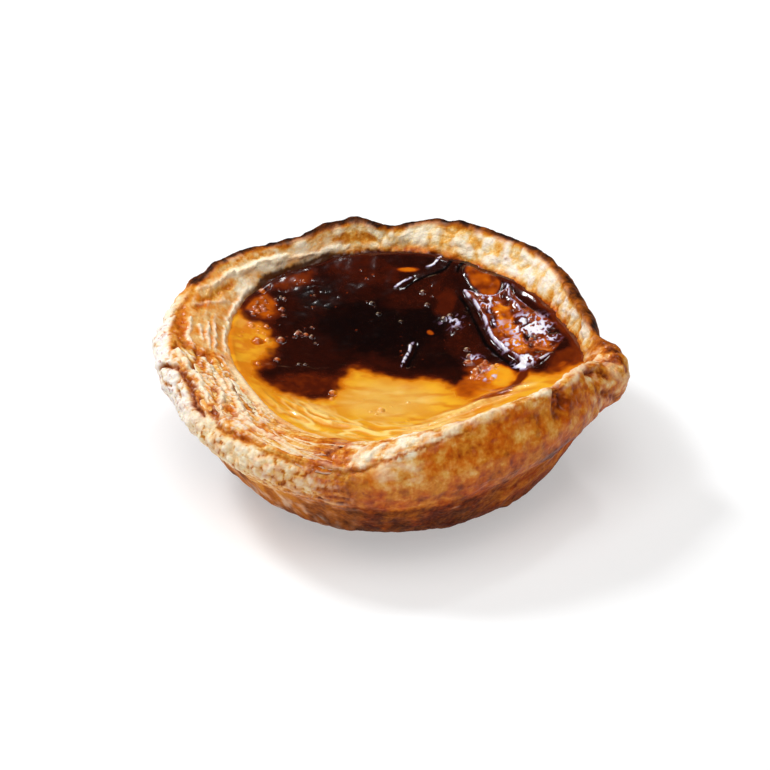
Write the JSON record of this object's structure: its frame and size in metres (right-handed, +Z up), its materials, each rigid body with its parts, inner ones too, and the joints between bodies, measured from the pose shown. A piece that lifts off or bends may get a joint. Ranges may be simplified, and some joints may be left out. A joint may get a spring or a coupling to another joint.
{
  "type": "egg tart",
  "caption": "Small round egg tart: a flaring puff pastry case with a thick hand-shaped rim, filled with baked custard under a dark caramelised skin.",
  "frame": {"origin": "middle of the flat round base, on the surface that the tart stands on", "axes": "+Z up through the tart; +X towards the pinched corner of the rim; -Y towards the side where the rim is lowest"},
  "size_m": [0.0776, 0.0762, 0.0251],
  "materials": {
    "puff_pastry": "baked puff pastry, golden brown with cream and dark toasted places, satin",
    "baked_custard": "glossy baked egg custard, golden yellow with a dark brown caramelised skin"
  },
  "bodies": {
    "root": {"pastry_case": "puff_pastry", "custard": "baked_custard"}
  },
  "joints": []
}
